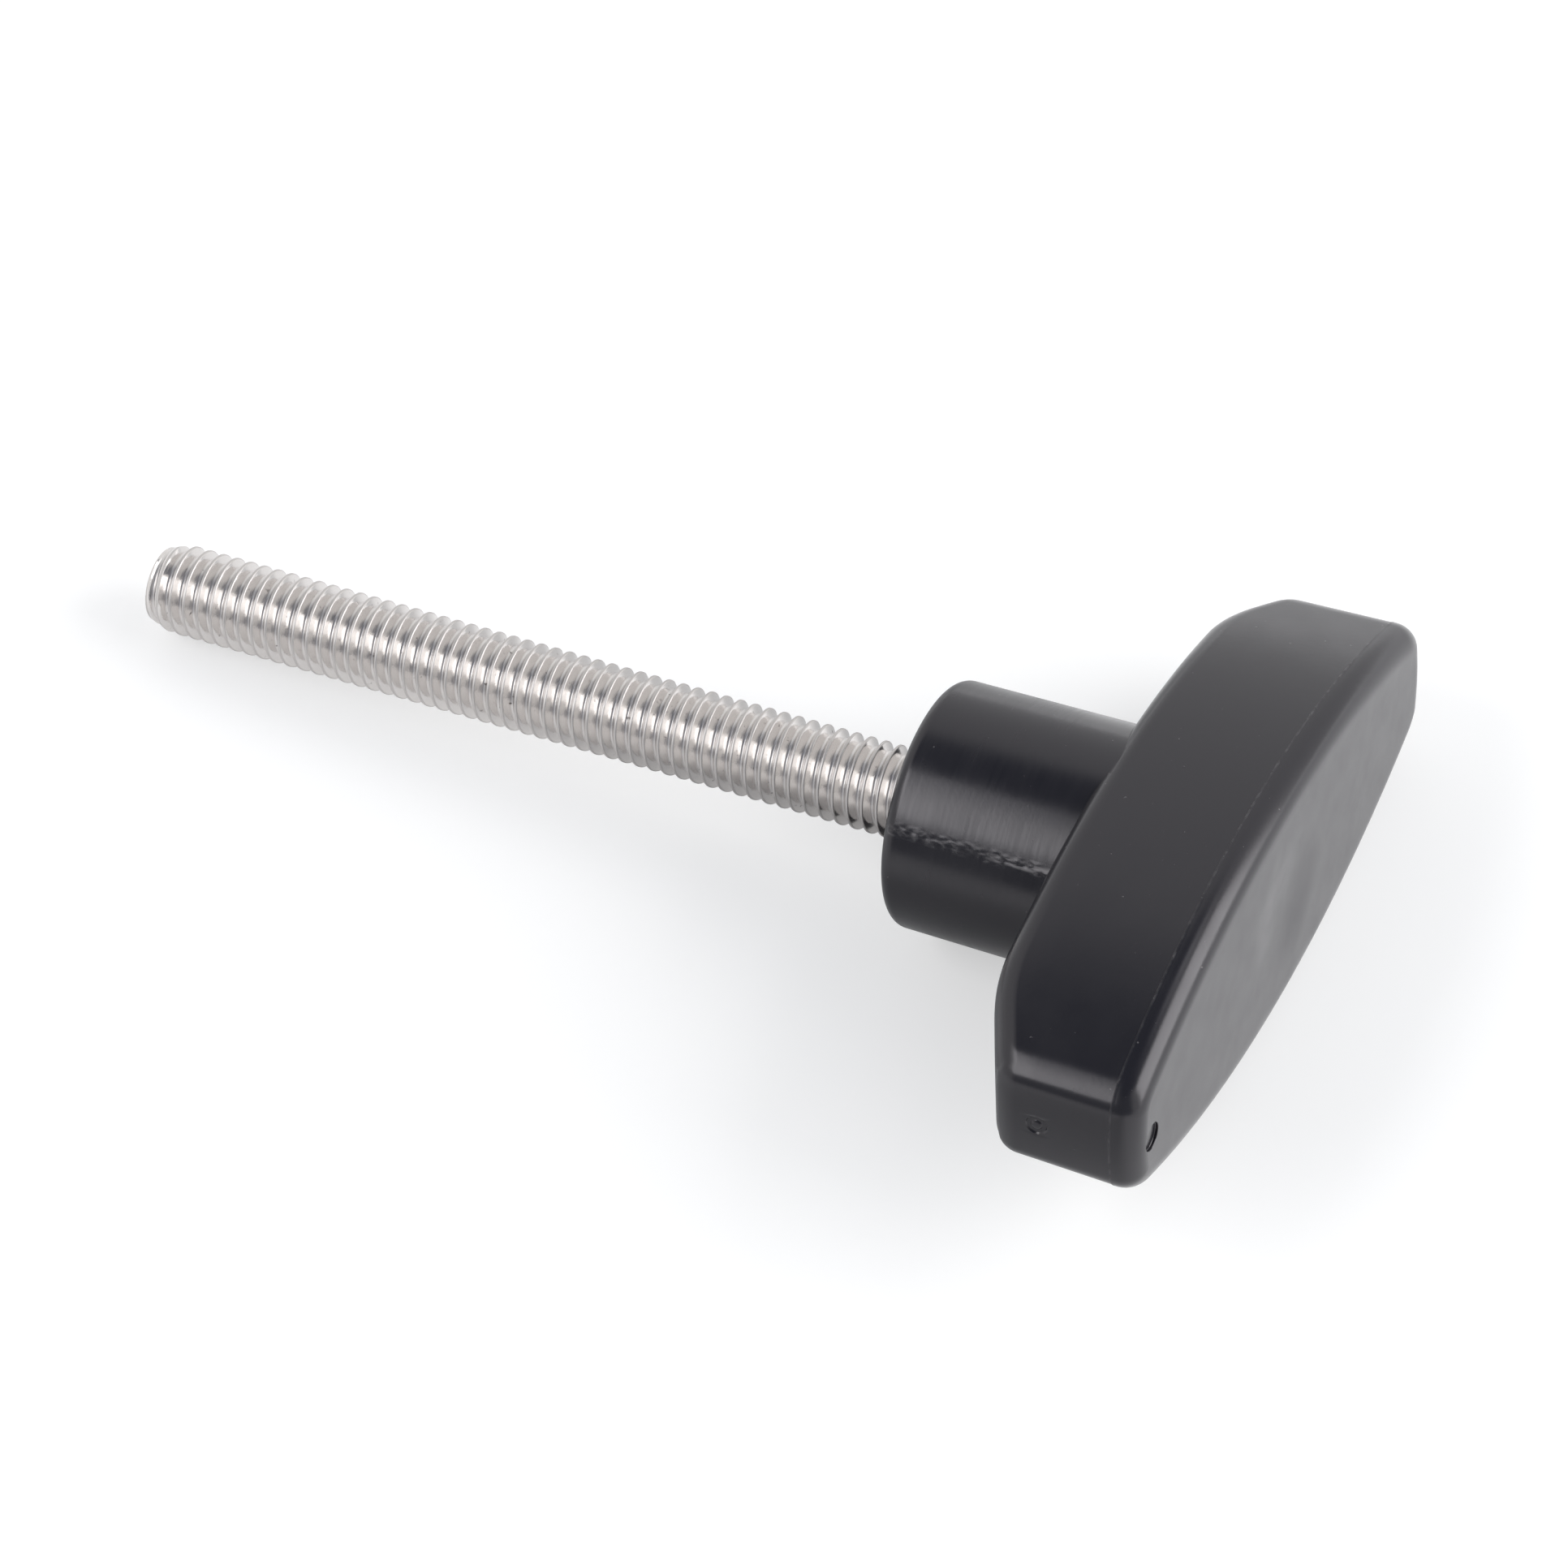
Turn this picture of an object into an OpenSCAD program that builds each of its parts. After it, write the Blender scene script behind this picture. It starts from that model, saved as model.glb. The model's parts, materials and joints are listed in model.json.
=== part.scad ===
// Handle fixing bolt: a moulded T-handle with a steel screw set into its boss.
// Each piece is drawn about the screw's axis, with z = 0 on the bar's outer face and +z towards
// the screw's tip. at_rest() then lays the bolt on its side, as it comes to rest on a table: on
// the boss's rim, the screw's tip and one side of the bar, towards which it has rolled. The tip
// points to -x, and the bar's end at +y is the lower one.

/* [Bar] */
// Length of the bar over its rounded ends
bar_len = 47; // [40:0.5:60]
// Width of the bar across its middle
bar_w = 17.1; // [16.8:0.1:18]
// Width that the curved sides would have at the very ends
bar_end_w = 7.5; // [6:0.1:10]
// Depth of the bar at its middle, from the outer face to the underside
bar_depth = 11.7; // [10:0.1:14]
// Depth that is left at the ends, where the underside slopes up
bar_end_depth = 9; // [7.5:0.1:9.8]
// Length of the flat middle of the underside
flat_len = 34.8; // [24:0.2:36]
// Length over which the underside turns from flat to sloping
knee_len = 4; // [1:0.5:6]
// How far the end faces bow out
end_bow = 0.4; // [0.2:0.1:1]
// Radius with which the upright corners leave the sides
corner_side_r = 3.5; // [2.5:0.1:4]
// Radius with which they run into the end faces
corner_end_r = 1.95; // [1.95:0.05:2.4]
// Direction, from the width towards the length, at which the first radius gives way to the second
corner_turn = 52; // [45:1:60]
// Radius of the edge around the outer face
face_r = 1.6; // [0.8:0.1:1.7]
// Radius of the edge around the underside
back_r = 1.5; // [0.8:0.1:1.5]
// Height of the mould's parting plane, where the bar is widest
parting_z = 1.8; // [1.8:0.1:3]
// Draft of the walls behind the parting plane, in degrees
draft = 1.6; // [0.5:0.1:1.7]

/* [Marks in the outer face] */
// Diameter of the shallow sink that the thick boss leaves in the outer face
sink_d = 10; // [6:0.5:12]
// Depth of that sink
sink_depth = 0.15; // [0.05:0.01:0.3]
// Diameter of the ejector pin's round recess near one end
pin_mark_d = 1.9; // [1:0.1:2.5]
// Depth of that recess
pin_mark_depth = 0.25; // [0.1:0.05:0.5]
// Distance of that recess from the middle of the bar
pin_mark_y = 21.2; // [15:0.1:21.4]

/* [Boss] */
// Diameter of the boss at its rim
boss_d = 15.9; // [15:0.1:16.4]
// Height of the boss above the bar's underside
boss_h = 12.05; // [8:0.05:16]
// Draft of the boss, in degrees
boss_draft = 0.6; // [0:0.1:1]
// Radius of the boss's rounded rim
rim_r = 0.85; // [0.3:0.05:1.5]
// Chamfer of the plastic where the screw leaves the boss
mouth_chamfer = 0.35; // [0.3:0.05:1]

/* [Screw] */
// Major diameter of the M6 thread
thread_d = 5.85; // [5.79:0.01:5.97]
// Length of thread that stands out of the boss
thread_len = 54.4; // [30:0.1:80]
// Diameter of the flat at the screw's tip
tip_d = 4.9; // [4:0.1:5.2]
// Length of the tip's chamfer
tip_len = 1.4; // [0.5:0.1:2]
// Diameter over which the plastic grips the screw inside the boss
grip_d = 5.35; // [4.9:0.05:5.5]
// Width across the flats of the screw's moulded-in head
head_af = 10; // [9.6:0.1:10.2]
// Thickness of that head
head_h = 4; // [3:0.1:4.5]
// Height of that head above the outer face
head_z = 4.5; // [3:0.1:6]

/* [Hidden] */

// The bar's outline is an arc along each side, an arc across each end and two corner arcs between
half_len = bar_len / 2;
half_w = bar_w / 2;
half_end_w = bar_end_w / 2;
side_drop = half_w - half_end_w;
side_r = (half_len ^ 2 + side_drop ^ 2) / (2 * side_drop);
end_r = (half_end_w ^ 2 + end_bow ^ 2) / (2 * end_bow);
side_centre = [half_w - side_r, 0];
end_centre = [0, half_len - end_r];
corner_shift = arc_point([0, 0], corner_side_r - corner_end_r, corner_turn);
corner_end_centre = crossing(
    side_centre + corner_shift, side_r - corner_side_r, end_centre, end_r - corner_end_r
);
corner_side_centre = corner_end_centre - corner_shift;
side_end_angle = direction(corner_side_centre - side_centre);
end_start_angle = direction(corner_end_centre - end_centre);

// The quarter's four arcs from the side to the end: centre, radius, first and last angle, steps
arcs = [
    [side_centre, side_r, 0, side_end_angle, 8],
    [corner_side_centre, corner_side_r, side_end_angle, corner_turn, 3],
    [corner_end_centre, corner_end_r, corner_turn, end_start_angle, 3],
    [end_centre, end_r, end_start_angle, 90, 2]
];
quarter = arcs[0][4] + arcs[1][4] + arcs[2][4] + arcs[3][4];
edge_steps = 5;
around = 4 * quarter;
round_fn = 96;

// Heights along the axis
underside_slope = (bar_depth - bar_end_depth) / (half_len - flat_len / 2);
boss_top = bar_depth + boss_h;
tip_z = boss_top + thread_len;
rim_centre = [boss_d / 2 - rim_r, boss_top - rim_r];
rim_tangent = arc_point(rim_centre, rim_r, boss_draft);
boss_foot_z = parting_z + 1;
boss_foot_r = rim_tangent[0] + (rim_tangent[1] - boss_foot_z) * tan(boss_draft);
sink_r = (sink_d ^ 2 / 4 + sink_depth ^ 2) / (2 * sink_depth);
clear = 1;

// At rest the screw dips until the boss's rounded rim and the edge of the tip's chamfer touch
tip_edge = [thread_d / 2, tip_z - tip_len];
rim_to_tip = tip_edge - rim_centre;
rest_dip = atan2(-rim_to_tip[0], rim_to_tip[1]) + asin(rim_r / norm(rim_to_tip));
rest_height = tip_edge[1] * sin(rest_dip) + tip_edge[0] * cos(rest_dip);

// It then rolls about the screw until the rounded edge behind one side of the bar touches too
back_edge_z = bar_depth - back_r;
back_edge_inset = draft_inset(back_edge_z) + back_r;
back_edge_reach = (rest_height - back_r - back_edge_z * sin(rest_dip)) / cos(rest_dip);
rest_roll = acos((side_r - back_edge_inset - back_edge_reach) / (side_r - half_w));

// Middle of the length that the bolt then takes up along x
face_edge_reach = side_r - face_r - (side_r - half_w) * cos(rest_roll);
reach_face = face_edge_reach * sin(rest_dip) + face_r * (1 - cos(rest_dip));
reach_tip = tip_z * cos(rest_dip) + tip_d / 2 * sin(rest_dip);
rest_shift = (reach_tip - reach_face) / 2;

// Angle of a vector
function direction(v) = atan2(v[1], v[0]);

// The point, on the side of +x and +y, where two circles cross
function crossing(c1, r1, c2, r2) =
    let (
        gap = norm(c2 - c1),
        along = (r1 ^ 2 - r2 ^ 2 + gap ^ 2) / (2 * gap),
        off = sqrt(r1 ^ 2 - along ^ 2),
        dir = (c2 - c1) / gap
    )
    c1 + along * dir + off * [-dir[1], dir[0]];

function arc_point(centre, r, angle) = centre + r * [cos(angle), sin(angle)];

// Step i of a quarter of the outline, moved inwards by inset, counted from the start of arc number k
function quarter_point(i, inset, k = 0) =
    let (arc = arcs[k], steps = arc[4])
    i > steps
        ? quarter_point(i - steps, inset, k + 1)
        : arc_point(arc[0], arc[1] - inset, arc[2] + (arc[3] - arc[2]) * i / steps);

// Step i of the whole outline: each quarter mirrors the one before it
function outline_point(i, inset) =
    let (
        turn = floor(i / quarter),
        step = i % quarter,
        p = quarter_point(turn % 2 == 0 ? step : quarter - step, inset)
    )
    [turn == 1 || turn == 2 ? -p[0] : p[0], turn >= 2 ? -p[1] : p[1]];

// Height of the underside: flat, then a blend over the knee, then the slope
function underside_z(y) =
    let (past = abs(y) - flat_len / 2, half_knee = knee_len / 2)
    bar_depth - underside_slope * (
        past < -half_knee ? 0
        : past > half_knee ? past
        : (past + half_knee) ^ 2 / (2 * knee_len)
    );

// Inset of a drafted wall at height z, behind the parting plane
function draft_inset(z) = (z - parting_z) * tan(draft);

// One ring of the rounded edge around the outer face, from the face to the wall
function face_ring(step) =
    let (angle = 90 * step / edge_steps)
    [for (i = [0:around - 1])
        let (p = outline_point(i, face_r * (1 - sin(angle))))
        [p[0], p[1], face_r * (1 - cos(angle))]];

// One ring of the rounded edge around the underside, from the wall to the underside
function back_ring(step) =
    let (angle = 90 * step / edge_steps)
    [for (i = [0:around - 1])
        let (
            top = underside_z(outline_point(i, 0)[1]),
            inset = draft_inset(top - back_r) + back_r * (1 - cos(angle)),
            p = outline_point(i, inset)
        )
        [p[0], p[1], underside_z(p[1]) - back_r * (1 - sin(angle))]];

function parting_ring() =
    [for (i = [0:around - 1]) let (p = outline_point(i, 0)) [p[0], p[1], parting_z]];

bar_rings = concat(
    [for (s = [0:edge_steps]) face_ring(s)],
    [parting_ring()],
    [for (s = [0:edge_steps]) back_ring(s)]
);

// Faces of the skin between the rings, and of the flat strips that close both ends of the stack
function skin_faces(count) =
    [for (r = [0:count - 2], i = [0:around - 1])
        let (next = (i + 1) % around, low = r * around, high = low + around)
        each [[low + i, high + i, low + next], [low + next, high + i, high + next]]];

function cap_faces(first, facing_out) =
    [for (i = [-quarter:quarter - 1])
        let (
            a = (i + around) % around,
            b = (i + 1 + around) % around,
            c = (2 * quarter - i - 1 + around) % around,
            d = (2 * quarter - i + around) % around,
            strip = a == d ? [a, b, c] : b == c ? [a, b, d] : [a, b, c, d],
            face = [for (k = strip) first + k]
        )
        facing_out ? face : [for (k = [len(face) - 1:-1:0]) face[k]]];

// The bar: one loft from the outer face, over the parting plane, to the sloped underside
module bar() {
    polyhedron(
        points = [for (ring = bar_rings) each ring],
        faces = concat(
            skin_faces(len(bar_rings)),
            cap_faces(0, true),
            cap_faces((len(bar_rings) - 1) * around, false)
        )
    );
}

// The boss: a drafted wall that is tangent to its rounded rim, with its foot sunk into the bar
module boss() {
    rotate_extrude($fn = round_fn) {
        polygon([
            [0, boss_foot_z],
            [boss_foot_r, boss_foot_z],
            rim_tangent,
            [rim_centre[0], rim_tangent[1]],
            [rim_centre[0], boss_top],
            [0, boss_top]
        ]);
        translate(rim_centre) circle(r = rim_r, $fn = round_fn);
    }
}

// The screw's part inside the handle: the hexagon head and the gripped thread, up to height top
module moulded_in(top) {
    translate([0, 0, head_z + head_h]) {
        cylinder(d = grip_d, h = top - head_z - head_h, $fn = round_fn);
    }
    translate([0, 0, head_z]) cylinder(d = head_af / cos(30), h = head_h, $fn = 6);
}

// Plastic T-handle: bar and boss in one moulding, formed around the screw
module t_handle() {
    color("#37373b") difference() {
        union() {
            bar();
            boss();
        }
        moulded_in(boss_top + clear);
        translate([0, 0, boss_top - mouth_chamfer - clear]) {
            cylinder(
                d1 = grip_d - 2 * clear,
                d2 = grip_d + 2 * mouth_chamfer + 2 * clear,
                h = mouth_chamfer + 2 * clear,
                $fn = round_fn
            );
        }
        translate([0, 0, sink_depth - sink_r]) sphere(r = sink_r, $fn = round_fn);
        translate([0, -pin_mark_y, -clear]) {
            cylinder(d = pin_mark_d, h = pin_mark_depth + clear, $fn = round_fn);
        }
    }
}

// Steel screw: threaded to the boss, with a chamfered tip
module threaded_screw() {
    color("#b9b3b1") {
        moulded_in(boss_top);
        translate([0, 0, boss_top]) cylinder(d = thread_d, h = thread_len - tip_len, $fn = round_fn);
        translate([0, 0, tip_z - tip_len]) {
            cylinder(d1 = thread_d, d2 = tip_d, h = tip_len, $fn = round_fn);
        }
    }
}

// Lays a piece down as the bolt rests, with the middle of its length over the origin
module at_rest() {
    translate([rest_shift, 0, rest_height]) {
        rotate([0, -90 - rest_dip, 0]) rotate([0, 0, rest_roll]) children();
    }
}

at_rest() t_handle();
at_rest() threaded_screw();
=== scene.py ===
"""A handle fixing bolt: a black plastic T-handle moulded around a threaded steel screw.

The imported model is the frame. Both pieces are drawn in millimetres about the screw's own axis,
with z = 0 on the handle's outer face and +z towards the tip, and are then laid down as it says.
"""
import json
import math

import bmesh
import bpy
from mathutils import Matrix, Vector, noise


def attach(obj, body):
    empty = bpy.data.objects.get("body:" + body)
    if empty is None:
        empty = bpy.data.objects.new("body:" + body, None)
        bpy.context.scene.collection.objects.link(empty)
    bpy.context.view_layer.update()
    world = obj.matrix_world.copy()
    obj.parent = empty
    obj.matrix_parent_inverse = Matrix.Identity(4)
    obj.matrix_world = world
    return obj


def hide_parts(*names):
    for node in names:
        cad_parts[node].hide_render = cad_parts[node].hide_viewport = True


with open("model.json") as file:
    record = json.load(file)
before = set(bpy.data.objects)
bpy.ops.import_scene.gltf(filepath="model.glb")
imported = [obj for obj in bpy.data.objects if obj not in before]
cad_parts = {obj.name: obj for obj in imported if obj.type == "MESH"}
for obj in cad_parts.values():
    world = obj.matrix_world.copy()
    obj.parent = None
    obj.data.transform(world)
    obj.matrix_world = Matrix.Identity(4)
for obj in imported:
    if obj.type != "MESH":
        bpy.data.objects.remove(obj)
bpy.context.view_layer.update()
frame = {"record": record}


# Screw
# An M6 x 1 steel screw with a rolled thread over its whole length, a chamfered tip and a hexagon
# head. The plastic is moulded around the head and the first turns, so only the thread shows.

# The screw's pin mount gives its axis, and the boss's seat where along it the plastic ends and
# which way the bar's width points
mounts = {mount["name"]: mount for mount in frame["record"]["mounts"]}
thread_wall, seat = mounts["screw_thread"], mounts["boss_seat"]
boss_top = 23.75
mm = 0.001

to_tip = Vector(thread_wall["axis"]).normalized()
wall_middle = Vector(thread_wall["pos_m"])
to_seat = Vector(seat["pos_m"]) - wall_middle
seat_centre = wall_middle + to_tip * to_seat.dot(to_tip)
width_way = (Vector(seat["pos_m"]) - seat_centre).normalized()
length_way = to_tip.cross(width_way)
face_centre = seat_centre - to_tip * boss_top * mm

laid = Matrix.Translation(face_centre) @ Matrix(
    (width_way, length_way, to_tip)
).transposed().to_4x4() @ Matrix.Scale(mm, 4)


class Wiring:
    """Adds nodes to a tree and links them, so that sockets are used as numbers and colours are."""

    def __init__(self, tree):
        self.new, self.link = tree.nodes.new, tree.links.new

    def fill(self, node, values):
        """Sets a node's sockets in turn, to numbers or to other sockets."""
        for socket, value in zip(node.inputs, values):
            if isinstance(value, (int, float)):
                socket.default_value = value
            else:
                self.link(value, socket)
        return node.outputs[0]

    def do(self, operation, *values):
        node = self.new("ShaderNodeMath")
        node.operation = operation
        return self.fill(node, values)

    def join(self, x, y, z):
        return self.fill(self.new("ShaderNodeCombineXYZ"), (x, y, z))

    def split(self, vector):
        node = self.new("ShaderNodeSeparateXYZ")
        self.link(vector, node.inputs[0])
        return node.outputs

    def ramp(self, value, low, high, to_low=0.0, to_high=1.0, smooth=True):
        """A value carried from one range to another, and held at both ends."""
        node = self.new("ShaderNodeMapRange")
        node.interpolation_type = "SMOOTHSTEP" if smooth else "LINEAR"
        limits = (("From Min", low), ("From Max", high), ("To Min", to_low), ("To Max", to_high))
        for name, number in limits:
            node.inputs[name].default_value = number
        self.link(value, node.inputs["Value"])
        return node.outputs["Result"]

    def cloud(self, place, scale, detail):
        """A soft noise around a half."""
        node = self.new("ShaderNodeTexNoise")
        node.inputs["Scale"].default_value = scale
        node.inputs["Detail"].default_value = detail
        self.link(place, node.inputs["Vector"])
        return node.outputs["Fac"]

    def blend(self, share, first, second):
        """A colour that goes from the first to the second, each of them three numbers or a socket."""
        node = self.new("ShaderNodeMix")
        node.data_type = "RGBA"
        for name, colour in (("A", first), ("B", second)):
            if isinstance(colour, tuple):
                node.inputs[name].default_value = (*colour, 1)
            else:
                self.link(colour, node.inputs[name])
        self.link(share, node.inputs["Factor"])
        return node.outputs["Result"]

    def bump(self, height, strength, distance):
        node = self.new("ShaderNodeBump")
        node.inputs["Strength"].default_value = strength
        node.inputs["Distance"].default_value = distance
        self.link(height, node.inputs["Height"])
        return node.outputs["Normal"]


def new_material(name):
    material = bpy.data.materials.new(name)
    material.use_nodes = True
    return material, material.node_tree.nodes["Principled BSDF"], Wiring(material.node_tree)


def place_on_bolt(wiring):
    """Object coordinates, turned to the screw's axes and counted in millimetres."""
    mapping = wiring.new("ShaderNodeMapping")
    mapping.vector_type = "TEXTURE"
    mapping.inputs["Location"].default_value = face_centre
    mapping.inputs["Rotation"].default_value = laid.to_euler()
    mapping.inputs["Scale"].default_value = (mm, mm, mm)
    wiring.link(wiring.new("ShaderNodeTexCoord").outputs["Object"], mapping.inputs["Vector"])
    return mapping.outputs["Vector"]


def put_in_place(piece, node):
    """Lays a finished mesh down with the bolt, in place of its CAD node."""
    piece.data.transform(laid)
    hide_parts(node)
    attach(piece, "root")


thread = {
    "Pitch": 1.0,
    "Crest radius": 2.925,
    "Crest width": 0.14,
    "Crest rounding": 0.035,
    "Crest wear": 0.10,
    "Flank angle": math.radians(30),
    "Root radius": 0.144,
    "Start turn": 0.17,
    "Bottom": 8.5,
    "Tip": 78.15,
    "Tip radius": 2.45,
    "Chamfer": 1.4,
    "Tip dish": 0.25,
    "Head across flats": 10.0,
    "Head bottom": 4.5,
}
# Rows from a crest's middle to a root's middle, in pitches apart: close together where it bends
row_gaps = (0.050, 0.018, 0.016, 0.016, 0.025, 0.120, 0.130, 0.025, 0.030, 0.035, 0.035)
rows_per_pitch = 2 * len(row_gaps)
steps_around = 52
spare_turns = 2
tip_rings = 8
head_sides = 6


def anchoring_head(wiring, size):
    """The hexagon head that holds the screw in the plastic."""
    do, link = wiring.do, wiring.link
    head = wiring.new("GeometryNodeMeshCylinder")
    head.inputs["Vertices"].default_value = head_sides
    half_flats = do("MULTIPLY", size["Head across flats"], 0.5)
    link(do("DIVIDE", half_flats, math.cos(math.pi / head_sides)), head.inputs["Radius"])
    depth = do("SUBTRACT", size["Bottom"], size["Head bottom"])
    link(depth, head.inputs["Depth"])
    middle = do("ADD", size["Head bottom"], do("MULTIPLY", depth, 0.5))
    raised = wiring.new("GeometryNodeTransform")
    link(head.outputs["Mesh"], raised.inputs["Geometry"])
    link(wiring.join(0.0, 0.0, middle), raised.inputs["Translation"])
    return raised.outputs[0]


def thread_tree(steel):
    """Rolls the thread: one long strip of rows that climbs a pitch in each turn and meets itself."""
    tree = bpy.data.node_groups.new("Rolled thread", "GeometryNodeTree")
    tree.interface.new_socket("Geometry", in_out="INPUT", socket_type="NodeSocketGeometry")
    for name in thread:
        tree.interface.new_socket(name, in_out="INPUT", socket_type="NodeSocketFloat")
    tree.interface.new_socket("Geometry", in_out="OUTPUT", socket_type="NodeSocketGeometry")
    wiring = Wiring(tree)
    new, link, do = wiring.new, wiring.link, wiring.do
    size = new("NodeGroupInput").outputs
    # Small shares of a row, a pitch and a millimetre, so that rounding never moves a row elsewhere
    off_row, off_crest, hair = 0.25, 0.0005, 1e-4

    # A flat grid, one column for each step around and one row for each step of the profile
    turns = math.ceil((thread["Tip"] - thread["Bottom"]) / thread["Pitch"]) + spare_turns
    rows = turns * rows_per_pitch
    grid = new("GeometryNodeMeshGrid")
    grid.inputs["Size X"].default_value = rows
    grid.inputs["Size Y"].default_value = steps_around
    grid.inputs["Vertices X"].default_value = rows + 1
    grid.inputs["Vertices Y"].default_value = steps_around + 1
    grid_x, grid_y, _ = wiring.split(new("GeometryNodeInputPosition").outputs[0])
    row = do("ADD", grid_x, rows / 2)
    turn = do("DIVIDE", do("ADD", grid_y, steps_around / 2), steps_around)
    angle = do("MULTIPLY", do("ADD", turn, size["Start turn"]), 2 * math.pi)

    def rise_of(row):
        """Pitches climbed at a row, counted from a crest's middle."""
        pitches = do("DIVIDE", do("ADD", row, off_row), rows_per_pitch)
        falling = do("GREATER_THAN", do("FRACT", pitches), 0.5)
        count = do("PINGPONG", row, len(row_gaps))
        place = 0.0
        for i, gap in enumerate(row_gaps):
            place = do("ADD", place, do("MULTIPLY", gap, do("GREATER_THAN", count, i + 0.5)))
        mirrored = do("MULTIPLY", falling, do("SUBTRACT", 1.0, do("MULTIPLY", 2.0, place)))
        return do("ADD", do("FLOOR", pitches), do("ADD", place, mirrored))

    def height_of(row):
        climbed = do("ADD", do("ADD", rise_of(row), turn), -1)
        return do("ADD", size["Bottom"], do("MULTIPLY", size["Pitch"], climbed))

    def at_radius(radius, level):
        return wiring.join(
            do("MULTIPLY", radius, do("COSINE", angle)), do("MULTIPLY", radius, do("SINE", angle)), level
        )

    height = height_of(row)

    # The crests' edges are worn unevenly, by a noise over the screw's own surface
    wear = wiring.cloud(at_radius(size["Crest radius"], height), 2.2, 2.0)
    worn = do("MULTIPLY", do("SUBTRACT", wear, 0.5), size["Crest wear"])

    # Depth below the crest: straight flanks that run into a round root
    in_pitch = do("FRACT", do("ADD", rise_of(row), off_crest))
    from_root = do("MULTIPLY", size["Pitch"], do("ABSOLUTE", do("ADD", in_pitch, -0.5)))
    half_groove = do("MULTIPLY", do("SUBTRACT", size["Pitch"], size["Crest width"]), 0.5)
    slope = do("TANGENT", size["Flank angle"])
    flank = do("DIVIDE", do("SUBTRACT", half_groove, from_root), slope)
    root_centre = do("SUBTRACT", do("DIVIDE", half_groove, slope),
                     do("DIVIDE", size["Root radius"], do("SINE", size["Flank angle"])))
    root_rise = do("SUBTRACT", do("POWER", size["Root radius"], 2.0), do("POWER", from_root, 2.0))
    round_root = do("ADD", root_centre, do("SQRT", do("MAXIMUM", 0.0, root_rise)))
    root_half = do("MULTIPLY", size["Root radius"], do("COSINE", size["Flank angle"]))
    in_root = do("LESS_THAN", from_root, root_half)
    groove = do("ADD", flank, do("MULTIPLY", in_root, do("SUBTRACT", round_root, flank)))
    depth = do("SMOOTH_MAX", do("ADD", groove, worn), 0.0, size["Crest rounding"])

    # The chamfer turns the crests away, and the rows past the tip close it with a shallow dish
    cone_run = do("DIVIDE", do("SUBTRACT", size["Crest radius"], size["Tip radius"]), size["Chamfer"])
    cone = do("ADD", size["Tip radius"], do("MULTIPLY", do("SUBTRACT", size["Tip"], height), cone_run))
    cut_back = do("MINIMUM", do("SUBTRACT", size["Crest radius"], depth), cone)
    rows_past = 0.0
    for back in range(tip_rings + 1):
        is_past = do("GREATER_THAN", height_of(do("ADD", row, -back)), size["Tip"])
        rows_past = do("ADD", rows_past, is_past)
    past_tip = do("GREATER_THAN", rows_past, 0.5)
    before_tip = do("SUBTRACT", 1.0, past_tip)
    closed = do("DIVIDE", do("SUBTRACT", rows_past, 1.0), tip_rings)
    closing = do("MAXIMUM", do("SUBTRACT", 1.0, closed), 0.0)
    dish = do("MULTIPLY", size["Tip dish"], do("SUBTRACT", 1.0, do("MULTIPLY", closing, closing)))
    dished = do("SUBTRACT", size["Tip"], dish)
    above_bottom = do("GREATER_THAN", height, do("ADD", size["Bottom"], -hair))
    stem = do("MULTIPLY", cut_back, above_bottom)
    radius = do("ADD", do("MULTIPLY", stem, before_tip),
                do("MULTIPLY", do("MULTIPLY", size["Tip radius"], closing), past_tip))
    level = do("ADD", do("MULTIPLY", do("MAXIMUM", height, size["Bottom"]), before_tip),
               do("MULTIPLY", dished, past_tip))

    # The grid keeps each point's share of the full depth for the finish, and is rolled up and closed
    keep_depth = new("GeometryNodeStoreNamedAttribute")
    keep_depth.data_type = "FLOAT"
    keep_depth.domain = "POINT"
    keep_depth.inputs["Name"].default_value = "groove"
    link(grid.outputs["Mesh"], keep_depth.inputs["Geometry"])
    link(do("DIVIDE", depth, do("ADD", root_centre, size["Root radius"])), keep_depth.inputs["Value"])
    roll_up = new("GeometryNodeSetPosition")
    link(keep_depth.outputs[0], roll_up.inputs["Geometry"])
    link(at_radius(radius, level), roll_up.inputs["Position"])
    close_up = new("GeometryNodeMergeByDistance")
    close_up.inputs["Distance"].default_value = hair
    link(roll_up.outputs[0], close_up.inputs["Geometry"])
    face_out = new("GeometryNodeFlipFaces")
    link(close_up.outputs[0], face_out.inputs["Mesh"])

    both = new("GeometryNodeJoinGeometry")
    link(face_out.outputs[0], both.inputs[0])
    link(anchoring_head(wiring, size), both.inputs[0])
    real = new("GeometryNodeRealizeInstances")
    link(both.outputs[0], real.inputs[0])
    finish = new("GeometryNodeSetMaterial")
    finish.inputs["Material"].default_value = steel
    link(real.outputs[0], finish.inputs["Geometry"])
    link(finish.outputs[0], new("NodeGroupOutput").inputs[0])
    return tree


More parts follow.
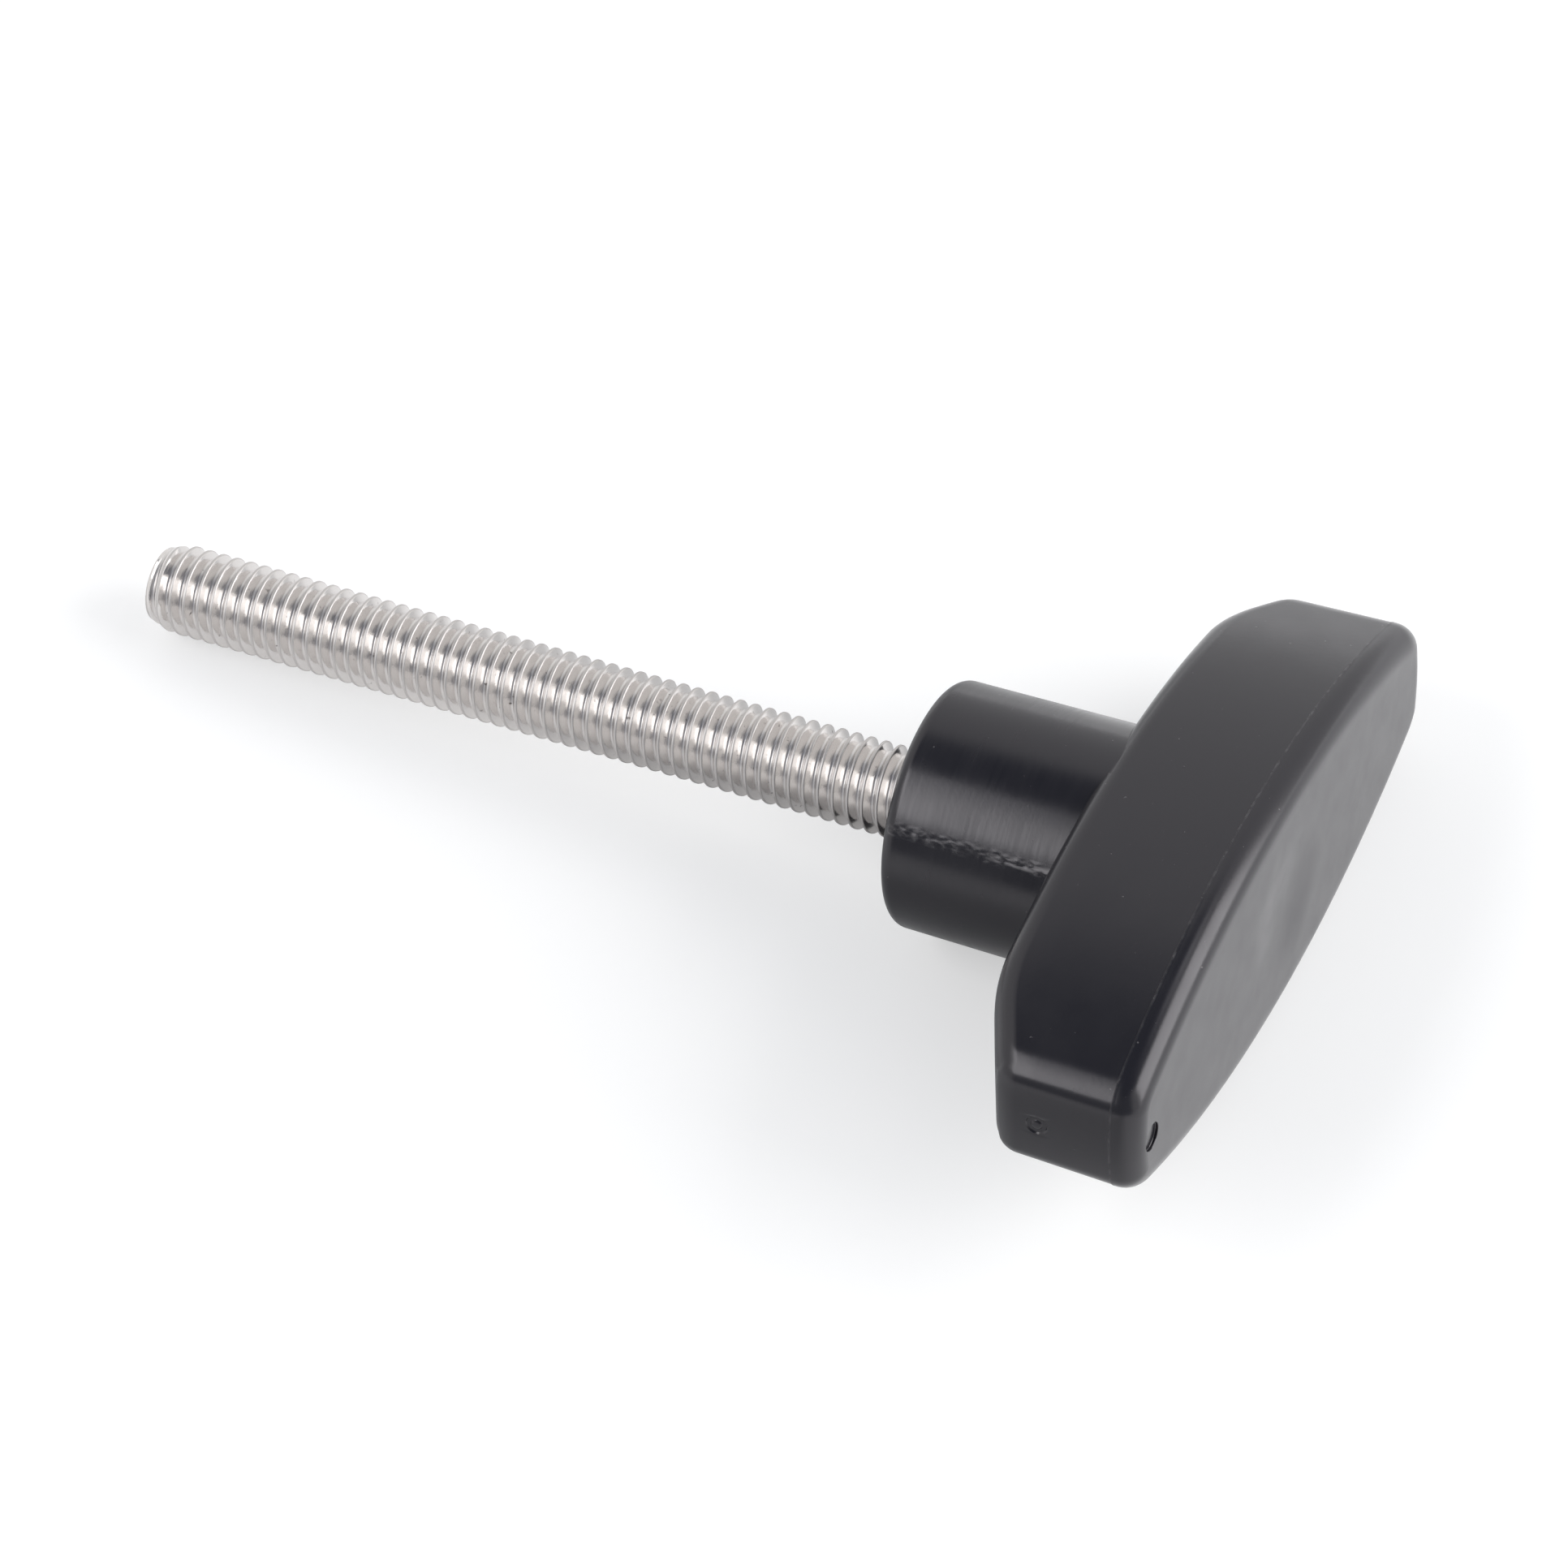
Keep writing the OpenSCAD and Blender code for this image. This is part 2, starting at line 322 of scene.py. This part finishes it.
def polished_steel():
    """Bright rolled steel, slightly warm, duller on the crests and in the roots, with painted shade on the
    crests and dark patches deeper in the grooves.
    """
    steel, shader, wiring = new_material("Polished steel")
    do, ramp, cloud = wiring.do, wiring.ramp, wiring.cloud
    shader.inputs["Metallic"].default_value = 1.0
    place = place_on_bolt(wiring)

    depth = wiring.new("ShaderNodeAttribute")
    depth.attribute_name = "groove"
    groove = depth.outputs["Fac"]
    on_crest = ramp(groove, 0.14, 0.04, smooth=False)
    in_root = do("POWER", do("MAXIMUM", groove, 0.0), 5.0)
    patches = cloud(place, 0.9, 3.0)
    # Dark patches that grow deeper into the grooves, and a quarter's darkening on the crests, which is
    # painted shade that dims their bright streak
    root_dark_patches = ramp(cloud(place, 2.6, 1.0), 0.72, 0.78, smooth=False)
    crest_shade_and_root_patches = do("MAXIMUM", do("MULTIPLY", on_crest, 0.25),
              do("MULTIPLY", root_dark_patches, do("MULTIPLY", groove, 0.8)))

    patchy_steel_tone = wiring.blend(patches, (0.67, 0.645, 0.63), (0.72, 0.695, 0.68))
    wiring.link(wiring.blend(crest_shade_and_root_patches, patchy_steel_tone, (0.07, 0.055, 0.05)), shader.inputs["Base Color"])

    rough = ramp(patches, 0.0, 1.0, 0.10, 0.20, smooth=False)
    unpolished = do("ADD", do("MULTIPLY", on_crest, 0.24), do("MULTIPLY", in_root, 0.28))
    rougher = do("ADD", rough, do("ADD", unpolished, do("MULTIPLY", crest_shade_and_root_patches, 0.3)))
    wiring.link(rougher, shader.inputs["Roughness"])

    grain = wiring.bump(cloud(place, 9.0, 2.0), strength=0.12, distance=0.03 * mm)
    wiring.link(grain, shader.inputs["Normal"])
    return steel


steel = polished_steel()
blank = bpy.data.objects.new("screw_blank", bpy.data.meshes.new("screw_blank"))
bpy.context.scene.collection.objects.link(blank)
rolling = blank.modifiers.new("Rolled thread", "NODES")
rolling.node_group = thread_tree(steel)
for item in rolling.node_group.interface.items_tree:
    if item.in_out == "INPUT" and item.name in thread:
        rolling[item.identifier] = thread[item.name]
bpy.context.view_layer.update()
rolled = blank.evaluated_get(bpy.context.evaluated_depsgraph_get())
screw_mesh = bpy.data.meshes.new_from_object(rolled)
bpy.data.objects.remove(blank)
screw_mesh.name = "screw"
screw_mesh.shade_smooth()
screw_mesh.set_sharp_from_angle(angle=math.radians(50))
screw = bpy.data.objects.new("screw", screw_mesh)
bpy.context.scene.collection.objects.link(screw)
put_in_place(screw, "threaded_screw")


# T-handle
# One black plastic moulding, pulled from a two-part mould that closes in a plane just behind the
# outer face: a bar with curved sides and sloped underside ends, and a round boss that grips the
# screw. An ejector pin, the gate and the cooling plastic have left their marks.

half_len, half_w, half_end_w = 23.5, 8.55, 3.75
bar_depth, bar_end_depth = 11.7, 9.0
flat_half, knee = 17.4, 4.0
corner_side_r, corner_end_r, corner_turn = 3.5, 1.95, math.radians(52)
face_r, back_r, end_bow = 1.6, 1.5, 0.4
# The mould's halves meet a little out of step: the drafted wall behind the parting plane stands back
parting_z, draft, step_back = 1.8, math.radians(1.6), 0.045

side_drop = half_w - half_end_w
side_r = (half_len ** 2 + side_drop ** 2) / (2 * side_drop)
end_r = (half_end_w ** 2 + end_bow ** 2) / (2 * end_bow)
side_centre = Vector((half_w - side_r, 0))
end_centre = Vector((0, half_len - end_r))


def circles_cross(centre_a, radius_a, centre_b, radius_b):
    """The point, on the side of +x and +y, where two circles cross."""
    gap = (centre_b - centre_a).length
    along = (radius_a ** 2 - radius_b ** 2 + gap ** 2) / (2 * gap)
    off = math.sqrt(radius_a ** 2 - along ** 2)
    way = (centre_b - centre_a) / gap
    return centre_a + way * along + Vector((-way.y, way.x)) * off


def on_arc(centre, radius, angle):
    return centre + radius * Vector((math.cos(angle), math.sin(angle)))


def direction(way):
    return math.atan2(way.y, way.x)


corner_shift = on_arc(Vector((0, 0)), corner_side_r - corner_end_r, corner_turn)
corner_end_centre = circles_cross(side_centre + corner_shift, side_r - corner_side_r,
                                  end_centre, end_r - corner_end_r)
corner_side_centre = corner_end_centre - corner_shift
side_end = direction(corner_side_centre - side_centre)
end_start = direction(corner_end_centre - end_centre)
# The bar's outline from a side to an end: each arc's centre, radius, first and last angle, and steps
arcs = (
    (side_centre, side_r, 0.0, side_end, 44),
    (corner_side_centre, corner_side_r, side_end, corner_turn, 9),
    (corner_end_centre, corner_end_r, corner_turn, end_start, 9),
    (end_centre, end_r, end_start, math.pi / 2, 8),
)
quarter = sum(arc[-1] for arc in arcs)
around = 4 * quarter


def quarter_point(step, inset):
    for centre, radius, first, last, steps in arcs:
        if step <= steps:
            return on_arc(centre, radius - inset, first + (last - first) * step / steps)
        step -= steps


def outline_point(step, inset):
    """A point of the bar's outline, moved inwards: each quarter mirrors the one before it."""
    turn, step = divmod(step % around, quarter)
    x, y = quarter_point(quarter - step if turn % 2 else step, inset)
    return (-x if turn in (1, 2) else x), (-y if turn >= 2 else y)


def underside_z(y):
    """Height of the underside: flat, a blend over the knee, a slope, and a low ledge at the end."""
    slope = (bar_depth - bar_end_depth) / (half_len - flat_half)
    ledge_y, ledge_run, ledge_h = 22.3, 0.3, 0.2
    ledge = ledge_h * max(0.0, min(1.0, (abs(y) - ledge_y) / ledge_run))
    past = abs(y) - flat_half
    if past < -knee / 2:
        return bar_depth
    if past > knee / 2:
        return bar_depth - slope * past + ledge
    return bar_depth - slope * (past + knee / 2) ** 2 / (2 * knee)


def bar_rings():
    """Rings of points from the outer face, over the parting line and the drafted wall, to the underside."""
    face_inset, flash_half = 0.015, 0.04
    edge_steps, wall_steps = 10, 5
    rings = []
    for i in range(edge_steps + 1):
        turn = math.pi / 2 * i / edge_steps
        inset = face_inset + (face_r - face_inset) * (1 - math.sin(turn))
        z = face_r * (1 - math.cos(turn))
        rings.append([(*outline_point(step, inset), z) for step in range(around)])

    # A trace of flash stands up unevenly along the parting line. Each of its rings has a height from
    # the line, in flash halves, the inset of the wall there, and the share of the flash that it shows
    flash_rings = ((-1.0, face_inset, 0.0), (-0.3, face_inset, 1.0), (0.4, face_inset, 0.8),
                   (1.3, step_back, 0.0))
    for height, foot, stands in flash_rings:
        ring = []
        for step in range(around):
            x, y = outline_point(step, 0)
            patchy = 0.55 + 1.4 * noise.noise(Vector((x, y, 0.0)) * 0.9)
            flash = face_inset * max(0.0, min(1.0, patchy))
            ring.append((*outline_point(step, foot - flash * stands), parting_z + height * flash_half))
        rings.append(ring)

    wall_foot = parting_z + flash_rings[-1][0] * flash_half
    for i in range(1, wall_steps):
        ring = []
        for step in range(around):
            wall_top = underside_z(outline_point(step, 0)[1]) - back_r
            z = wall_foot + (wall_top - wall_foot) * i / wall_steps
            ring.append((*outline_point(step, step_back + (z - parting_z) * math.tan(draft)), z))
        rings.append(ring)
    for i in range(edge_steps + 1):
        turn = math.pi / 2 * i / edge_steps
        ring = []
        for step in range(around):
            wall_top = underside_z(outline_point(step, 0)[1]) - back_r
            inset = step_back + (wall_top - parting_z) * math.tan(draft) + back_r * (1 - math.cos(turn))
            x, y = outline_point(step, inset)
            ring.append((x, y, underside_z(y) - back_r * (1 - math.sin(turn))))
        rings.append(ring)
    return rings


def new_mesh(name, vertices, faces):
    mesh = bpy.data.meshes.new(name)
    mesh.from_pydata(vertices, [], faces)
    piece = bpy.data.objects.new(name, mesh)
    bpy.context.scene.collection.objects.link(piece)
    return piece


def outwards(piece, merge=1e-5):
    """Merges doubled points and turns every face of a closed shell outwards."""
    shell = bmesh.new()
    shell.from_mesh(piece.data)
    bmesh.ops.remove_doubles(shell, verts=shell.verts, dist=merge)
    bmesh.ops.dissolve_degenerate(shell, edges=shell.edges, dist=merge)
    bmesh.ops.recalc_face_normals(shell, faces=shell.faces)
    shell.to_mesh(piece.data)
    shell.free()
    return piece


def skin_faces(rings, steps):
    """The faces between rings of points, all with the same steps around, that follow one another."""
    faces = []
    for low in range(0, (rings - 1) * steps, steps):
        for step in range(steps):
            beside = (step + 1) % steps
            faces.append((low + step, low + beside, low + steps + beside, low + steps + step))
    return faces


def sink(x, y):
    """How far the outer face has sunk over the thick boss as the plastic cooled."""
    sink_r, sink_depth = 5.4, 0.17
    return sink_depth * max(0.0, 1 - (x * x + y * y) / sink_r ** 2) ** 2


def bar():
    rings = bar_rings()
    vertices = [point for ring in rings for point in ring]
    faces = skin_faces(len(rings), around)
    # Both flat faces are ruled across the bar, from each point to its mirror image
    columns = 30
    for ring, is_face in ((0, True), (len(rings) - 1, False)):
        lines = []
        for step in range(-quarter, quarter + 1):
            left = ring * around + step % around
            right = ring * around + (2 * quarter - step) % around
            left_x, y, _ = vertices[left]
            right_x = vertices[right][0]
            line = [left]
            for column in range(1, columns):
                x = left_x + (right_x - left_x) * column / columns
                line.append(len(vertices))
                vertices.append((x, y, sink(x, y) if is_face else underside_z(y)))
            lines.append([*line, right])
        for low, high in zip(lines, lines[1:]):
            for column in range(columns):
                faces.append((low[column], low[column + 1], high[column + 1], high[column]))
    return outwards(new_mesh("t_handle_moulding", vertices, faces))


def turned(name, profile, place=Matrix(), angles=None, rough=None):
    """A closed shell turned from a profile of (radius, z) points that starts and ends on its axis."""
    plain_steps = 48
    angles = angles or [2 * math.pi * step / plain_steps for step in range(plain_steps)]
    vertices = []
    for radius, z in profile:
        for angle in angles:
            out = radius + rough(angle, z) if rough and radius else radius
            vertices.append((out * math.cos(angle), out * math.sin(angle), z))
    piece = new_mesh(name, vertices, skin_faces(len(profile), len(angles)))
    piece.data.transform(place)
    return outwards(piece)


# The mould seam along the boss: where round the boss it runs, the radius and half the width it has
# there, and how far up from the bar it was scraped when it was trimmed
seam_angle, seam_r, seam_half_width, scrape_top = math.radians(-60.5), 8.0, 0.50, 16.4


def seam_burr(angle, z):
    """The ragged strip along the seam, a little higher where it was scraped."""
    across = (angle - seam_angle + math.pi) % (2 * math.pi) - math.pi
    across *= seam_r / seam_half_width
    if abs(across) > 1 or z < bar_depth - 1 or z > boss_top - 0.3:
        return 0.0
    height = 0.035 if z < scrape_top else 0.025
    spot = Vector((across * seam_half_width, 0.0, z * 0.6))
    return height * (1 - across ** 2) * (noise.noise(spot * 4.0) + 0.4 * noise.noise(spot * 9.0) + 0.3)


def boss():
    """The boss, with draft, a rounded rim, a flat seat and a chamfered mouth around the screw."""
    rim_r, boss_r, boss_draft, seat_edge = 0.85, 7.95, math.radians(0.6), 0.3
    mouth_r, mouth_chamfer, mouth_depth = 2.675, 0.35, 3.0
    foot_z, wall_steps, rim_steps = parting_z + 1, 100, 12
    rim_x, rim_z = boss_r - rim_r, boss_top - rim_r
    wall_x, wall_z = rim_x + rim_r * math.cos(boss_draft), rim_z + rim_r * math.sin(boss_draft)
    shown_z = bar_depth - 1
    profile = [(0, foot_z), (wall_x + (wall_z - foot_z) * math.tan(boss_draft), foot_z)]
    for i in range(wall_steps):
        z = shown_z + (wall_z - shown_z) * i / wall_steps
        profile.append((wall_x + (wall_z - z) * math.tan(boss_draft), z))
    for i in range(rim_steps + 1):
        turn = boss_draft + (math.pi / 2 - boss_draft) * i / rim_steps
        profile.append((rim_x + rim_r * math.cos(turn), rim_z + rim_r * math.sin(turn)))
    profile += [
        (rim_x - seat_edge, boss_top),
        (mouth_r + mouth_chamfer, boss_top),
        (mouth_r, boss_top - mouth_chamfer),
        (mouth_r, boss_top - mouth_depth),
        (0, boss_top - mouth_depth),
    ]
    # Fine steps over the seam and just beside it, coarse ones elsewhere
    seam_steps, plain_steps = 14, 132
    half_seam = seam_half_width * 1.1 / seam_r
    angles = [seam_angle - half_seam + 2 * half_seam * i / seam_steps for i in range(seam_steps)]
    rest = 2 * math.pi - 2 * half_seam
    angles += [seam_angle + half_seam + rest * i / plain_steps for i in range(plain_steps)]
    return turned("boss", profile, angles=angles, rough=seam_burr)


def pin_mark():
    """The ejector pin's round recess near one end of the outer face, with a slightly worn lip."""
    mark_r, depth, lip = 0.92, 0.20, 0.03
    mark_x, mark_y = -0.3, -21.2
    profile = [(0, -1), (mark_r + lip, -1), (mark_r + lip, 0), (mark_r, lip), (mark_r, depth - lip),
               (mark_r - lip, depth), (0, depth)]
    return turned("pin_mark", profile, Matrix.Translation((mark_x, mark_y, 0)))


def gate_mark():
    """The gate's mark on the lower end: a ring-shaped dimple around the stub that was broken off."""
    mark_r, stub_r, depth = 0.70, 0.28, 0.12
    mark_x, mark_z = 0.05, 6.5
    wall_y = half_len - step_back - (mark_z - parting_z) * math.tan(draft)
    lip, slope, below = 0.06, 0.09, 0.02
    profile = [(0, 1), (mark_r + lip, 1), (mark_r + lip, 0.01), (mark_r, -below), (mark_r - slope, -depth),
               (stub_r + slope, -depth), (stub_r, -2 * below), (stub_r - 0.1, -below), (0, -below)]
    upright = Matrix.Rotation(math.radians(90) + draft, 4, "X")
    return turned("gate_mark", profile, Matrix.Translation((mark_x, -wall_y, mark_z)) @ upright)


def combine(piece, operation, other):
    """Joins another closed shell to a piece, or cuts it away, and deletes it."""
    cut = piece.modifiers.new(other.name, "BOOLEAN")
    cut.operation = operation
    cut.solver = "EXACT"
    cut.object = other
    bpy.context.view_layer.update()
    result = bpy.data.meshes.new_from_object(piece.evaluated_get(bpy.context.evaluated_depsgraph_get()))
    piece.modifiers.clear()
    old = piece.data
    piece.data = result
    bpy.data.meshes.remove(old)
    bpy.data.objects.remove(other)


def scuffs_and_glints_group():
    """Masks of wear and painted light: pale specks, soft patches, rings around the boss, its seam and
    scraped streak, and the parting line's glints.
    """
    tree = bpy.data.node_groups.new("Scuffs", "ShaderNodeTree")
    tree.interface.new_socket("Place", in_out="INPUT", socket_type="NodeSocketVector")
    for name in ("Specks", "Patches", "Rings", "Seam", "Scrape", "Parting"):
        tree.interface.new_socket(name, in_out="OUTPUT", socket_type="NodeSocketFloat")
    wiring = Wiring(tree)
    do, ramp = wiring.do, wiring.ramp
    given, out = wiring.new("NodeGroupInput"), wiring.new("NodeGroupOutput")

    def put_out(name, mask):
        wiring.link(mask, out.inputs[name])

    def cloud(scale, detail, stretch=(1, 1, 1)):
        mapping = wiring.new("ShaderNodeMapping")
        mapping.inputs["Scale"].default_value = stretch
        wiring.link(given.outputs["Place"], mapping.inputs["Vector"])
        return wiring.cloud(mapping.outputs[0], scale, detail)

    x, y, z = wiring.split(given.outputs["Place"])
    put_out("Specks", ramp(cloud(3.1, 1.0), 0.77, 0.83))
    put_out("Patches", cloud(0.35, 4.0))

    above_bar = ramp(z, bar_depth + 0.2, bar_depth + 0.5)
    on_boss = do("MULTIPLY", above_bar, ramp(z, boss_top - 0.5, boss_top - 0.2, 1.0, 0.0))
    turning_lines = do("SUBTRACT", cloud(1.0, 2.0, (0.25, 0.25, 5.0)), 0.5)
    put_out("Rings", do("MULTIPLY", on_boss, turning_lines))

    across = do("MULTIPLY", do("ABSOLUTE", do("SUBTRACT", do("ARCTAN2", y, x), seam_angle)), seam_r)
    strip = do("MULTIPLY", on_boss, ramp(across, seam_half_width * 0.5, seam_half_width * 1.2, 1.0, 0.0))
    put_out("Seam", do("MULTIPLY", strip, ramp(cloud(3.2, 3.0, (1, 1, 0.5)), 0.42, 0.80)))
    # The scraped streak is a real scrape; its pale colour also paints in the highlight that its rough burr
    # catches from the key box
    core = do("MULTIPLY", on_boss, ramp(across, 0.08, 0.34, 1.0, 0.0))
    scraped = ramp(z, scrape_top - 0.8, scrape_top + 0.8, 1.0, 0.0)
    dabs = ramp(cloud(2.8, 2.0, (1, 1, 0.35)), 0.46, 0.66)
    put_out("Scrape", do("MULTIPLY", do("MULTIPLY", core, scraped), dabs))

    # Paler flecks along the parting line: painted glints of the flash
    from_parting = do("ABSOLUTE", do("SUBTRACT", z, parting_z))
    broken = ramp(cloud(1.6, 3.0), 0.40, 0.75, 0.15, 1.0)
    put_out("Parting", do("MULTIPLY", ramp(from_parting, 0.03, 0.13, 1.0, 0.0), broken))
    return tree


def black_plastic():
    """Semi-gloss black plastic with the mould's fine texture, light scuff marks, and paler colour painted
    as glints along the parting line.
    """
    plastic, shader, wiring = new_material("Black plastic")
    do = wiring.do
    shader.inputs["Specular Tint"].default_value = (0.99, 0.96, 1.0, 1)
    place = place_on_bolt(wiring)

    scuffs_and_glints = wiring.new("ShaderNodeGroup")
    scuffs_and_glints.node_tree = scuffs_and_glints_group()
    wiring.link(place, scuffs_and_glints.inputs["Place"])
    mark = scuffs_and_glints.outputs

    # Paler colour: the specks and the seam are the plastic's own, the parting line's flecks are painted
    # glints, and the scraped streak is a real scrape painted pale for its highlight too
    paler = do("MAXIMUM", do("MULTIPLY", mark["Specks"], 0.3), do("MULTIPLY", mark["Seam"], 0.36))
    paler = do("MAXIMUM", paler, do("MULTIPLY", mark["Parting"], 0.16))
    paler = do("MAXIMUM", paler, do("MULTIPLY", mark["Scrape"], 0.9))
    colour = wiring.blend(paler, (0.0118, 0.0114, 0.0146), (0.26, 0.25, 0.255))
    wiring.link(colour, shader.inputs["Base Color"])

    rough = wiring.ramp(mark["Patches"], 0.3, 0.7, 0.20, 0.27, smooth=False)
    duller = do("ADD", do("MULTIPLY", mark["Rings"], 0.14), do("MULTIPLY", paler, 0.3))
    wiring.link(do("ADD", rough, duller), shader.inputs["Roughness"])

    texture = wiring.cloud(place, 4.0, 2.0)
    waves = do("MULTIPLY", mark["Patches"], 1.6)
    height = do("ADD", do("ADD", texture, do("MULTIPLY", mark["Rings"], 0.5)), waves)
    wiring.link(wiring.bump(height, strength=0.10, distance=0.02 * mm), shader.inputs["Normal"])
    return plastic


handle = bar()
combine(handle, "UNION", boss())
combine(handle, "DIFFERENCE", pin_mark())
combine(handle, "DIFFERENCE", gate_mark())
outwards(handle, merge=1e-4)
handle.data.materials.clear()
handle.data.materials.append(black_plastic())
handle.data.shade_smooth()
handle.data.set_sharp_from_angle(angle=math.radians(35))
put_in_place(handle, "t_handle")


# Floor, light and camera
# A pale table in a white studio, lit by four soft boxes: a long key high on the left, a dim one
# beside it, a small one high at the back right and a large one low on the right. The ceiling and a
# strip in front are dark, as the reflections on the bolt show.

def studio_floor():
    """White to the camera. A painted glow, seen only in the bolt's reflections, leaves it dark under the
    middle and brighter around.
    """
    half = 3.0
    corners = [(-half, -half, 0), (half, -half, 0), (half, half, 0), (-half, half, 0)]
    floor = new_mesh("floor", corners, [(0, 1, 2, 3)])
    white, shader, wiring = new_material("White floor")
    do, ramp = wiring.do, wiring.ramp
    shader.inputs["Base Color"].default_value = (0.6, 0.6, 0.6, 1)
    shader.inputs["Roughness"].default_value = 0.9
    shader.inputs["Specular IOR Level"].default_value = 0.0
    shader.inputs["Emission Color"].default_value = (1, 1, 1, 1)

    x, y, _ = wiring.split(wiring.new("ShaderNodeTexCoord").outputs["Object"])
    # Painted light: a glow that only reflections see, a pool brighter towards the side box, at the back and
    # on the left, with little under the middle so it looks dark there
    towards_side_box = do("ADD", do("MULTIPLY", x, 0.9), do("MULTIPLY", y, 0.42))
    at_back = ramp(y, 0.06, 0.25, 0.0, 0.65)
    on_right = ramp(towards_side_box, 0.012, 0.034, 0.0, 0.54)
    on_left = ramp(towards_side_box, 0.0, -0.016, 0.0, 0.33)
    painted_reflection_glow = do("ADD", do("ADD", 0.08, at_back), do("ADD", on_right, on_left))
    ray = wiring.new("ShaderNodeLightPath").outputs
    to_camera = do("MULTIPLY", ray["Is Camera Ray"], 0.45)
    to_gloss = do("MULTIPLY", ray["Is Glossy Ray"], painted_reflection_glow)
    wiring.link(do("ADD", to_camera, to_gloss), shader.inputs["Emission Strength"])
    floor.data.materials.append(white)


def studio_world():
    """White walls all round but for a dark strip in front, and a dark ceiling."""
    world = bpy.data.worlds.new("Studio")
    bpy.context.scene.world = world
    world.use_nodes = True
    world.node_tree.nodes.clear()
    wiring = Wiring(world.node_tree)
    do, ramp = wiring.do, wiring.ramp

    x, y, z = wiring.split(wiring.new("ShaderNodeTexCoord").outputs["Generated"])
    level = do("SQRT", do("MAXIMUM", do("SUBTRACT", 1.0, do("POWER", z, 2.0)), 1e-6))
    front = math.radians(-76)
    frontwards = do("ADD", do("MULTIPLY", x, math.cos(front)), do("MULTIPLY", y, math.sin(front)))
    to_front = do("DIVIDE", frontwards, level)
    strip_outside, strip_inside = math.radians(50), math.radians(36)
    wall = ramp(to_front, math.cos(strip_outside), math.cos(strip_inside), 1.0, 0.2)
    ceiling_edge, wall_edge = math.radians(59), math.radians(50)
    under_ceiling = ramp(z, math.sin(ceiling_edge), math.sin(wall_edge))

    ray = wiring.new("ShaderNodeLightPath").outputs
    lit = do("MAXIMUM", do("MULTIPLY", wall, under_ceiling), ray["Is Camera Ray"])
    background = wiring.new("ShaderNodeBackground")
    wiring.link(wiring.blend(lit, (0.09, 0.11, 0.155), (1, 1, 1)), background.inputs["Color"])
    wiring.link(background.outputs[0], wiring.new("ShaderNodeOutputWorld").inputs["Surface"])


def soft_box(name, azimuth, elevation, distance, width, height, radiance, turn=0.0):
    """A soft box that faces the bolt from a direction, as bright as its reflection should look."""
    lamp = bpy.data.lights.new(name, "AREA")
    lamp.shape = "RECTANGLE"
    lamp.size, lamp.size_y = width, height
    lamp.energy = radiance * math.pi * width * height
    box = bpy.data.objects.new(name, lamp)
    bpy.context.scene.collection.objects.link(box)
    azimuth, elevation = math.radians(azimuth), math.radians(elevation)
    way = Vector((math.cos(elevation) * math.cos(azimuth), math.cos(elevation) * math.sin(azimuth),
                  math.sin(elevation)))
    facing = way.to_track_quat("Z", "Y").to_matrix().to_4x4()
    roll = Matrix.Rotation(math.radians(turn), 4, "Z")
    box.matrix_world = Matrix.Translation(way * distance) @ facing @ roll
    box.visible_camera = False


def studio_camera():
    """The photograph's view, down past the outer face, with a long lens."""
    camera = bpy.data.objects.new("camera", bpy.data.cameras.new("camera"))
    bpy.context.scene.collection.objects.link(camera)
    # Where it stands in millimetres and how it is turned, both in the bolt's own axes
    stand = Vector((268.502, -263.559, -101.373))
    right = Vector((-0.04034, 0.42295, -0.90526))
    up = Vector((0.73724, 0.62413, 0.25874))
    turn = Matrix((right, up, right.cross(up))).transposed().to_4x4()
    bolt_turn = laid.to_quaternion().to_matrix().to_4x4()
    camera.matrix_world = Matrix.Translation(laid @ stand) @ bolt_turn @ turn
    camera.data.sensor_width = 36.0
    camera.data.lens = 146.774
    camera.data.clip_start, camera.data.clip_end = 0.01, 20.0
    bpy.context.scene.camera = camera


studio_floor()
studio_world()
# Azimuth and elevation in degrees, distance, width and height in metres, and radiance
soft_box("key_box", -131, 46.5, 0.60, 0.46, 0.16, 4.15, turn=-44)
soft_box("key_fill_box", -152, 40, 0.62, 0.38, 0.17, 0.85, turn=-44)
soft_box("top_box", 52, 60, 0.60, 0.14, 0.14, 1.6)
soft_box("side_box", 18, 25, 0.60, 0.46, 0.50, 4.2)
studio_camera()
bpy.context.scene.view_settings.view_transform = "Standard"
